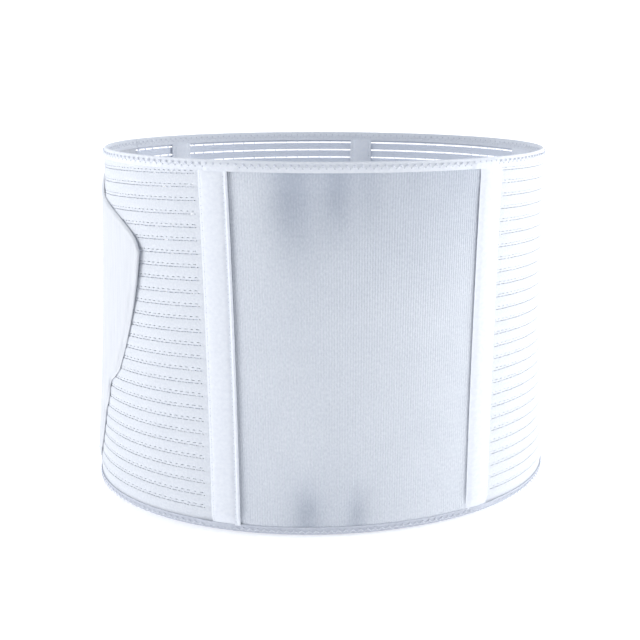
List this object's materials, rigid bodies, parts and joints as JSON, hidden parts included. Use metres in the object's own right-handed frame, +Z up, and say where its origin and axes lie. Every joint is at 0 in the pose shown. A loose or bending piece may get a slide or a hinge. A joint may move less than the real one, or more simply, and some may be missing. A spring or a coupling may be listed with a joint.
{
  "type": "abdominal binder",
  "caption": "Wrap-around abdominal support belt closed into a loop: smooth knit front panel, ribbed elastic sides and back, taped seams, bound edges and a wide closure flap.",
  "frame": {"origin": "middle of the footprint, on the surface that the bottom hem stands on", "axes": "+Z up along the wearer's trunk, the front panel faces -Y, the closure flap lies on the -X side"},
  "size_m": [0.352, 0.271, 0.25],
  "materials": {
    "knit": "smooth matt knit with fine upright wales",
    "elastic": "matt ribbed elastic with openwork lines",
    "tape": "matt woven tape with stitched edges",
    "flap": "smooth brushed knit"
  },
  "bodies": {
    "root": {"front_panel": "knit", "front_tape_left": "tape", "front_tape_right": "tape", "side_panel_left": "elastic", "side_panel_right": "elastic", "landing_panel": "flap", "back_panel": "elastic", "side_seam_band": "tape", "stay_tape_left": "tape", "stay_tape_right": "tape", "top_binding": "tape", "bottom_binding": "tape", "closure_flap": "flap"}
  },
  "joints": []
}
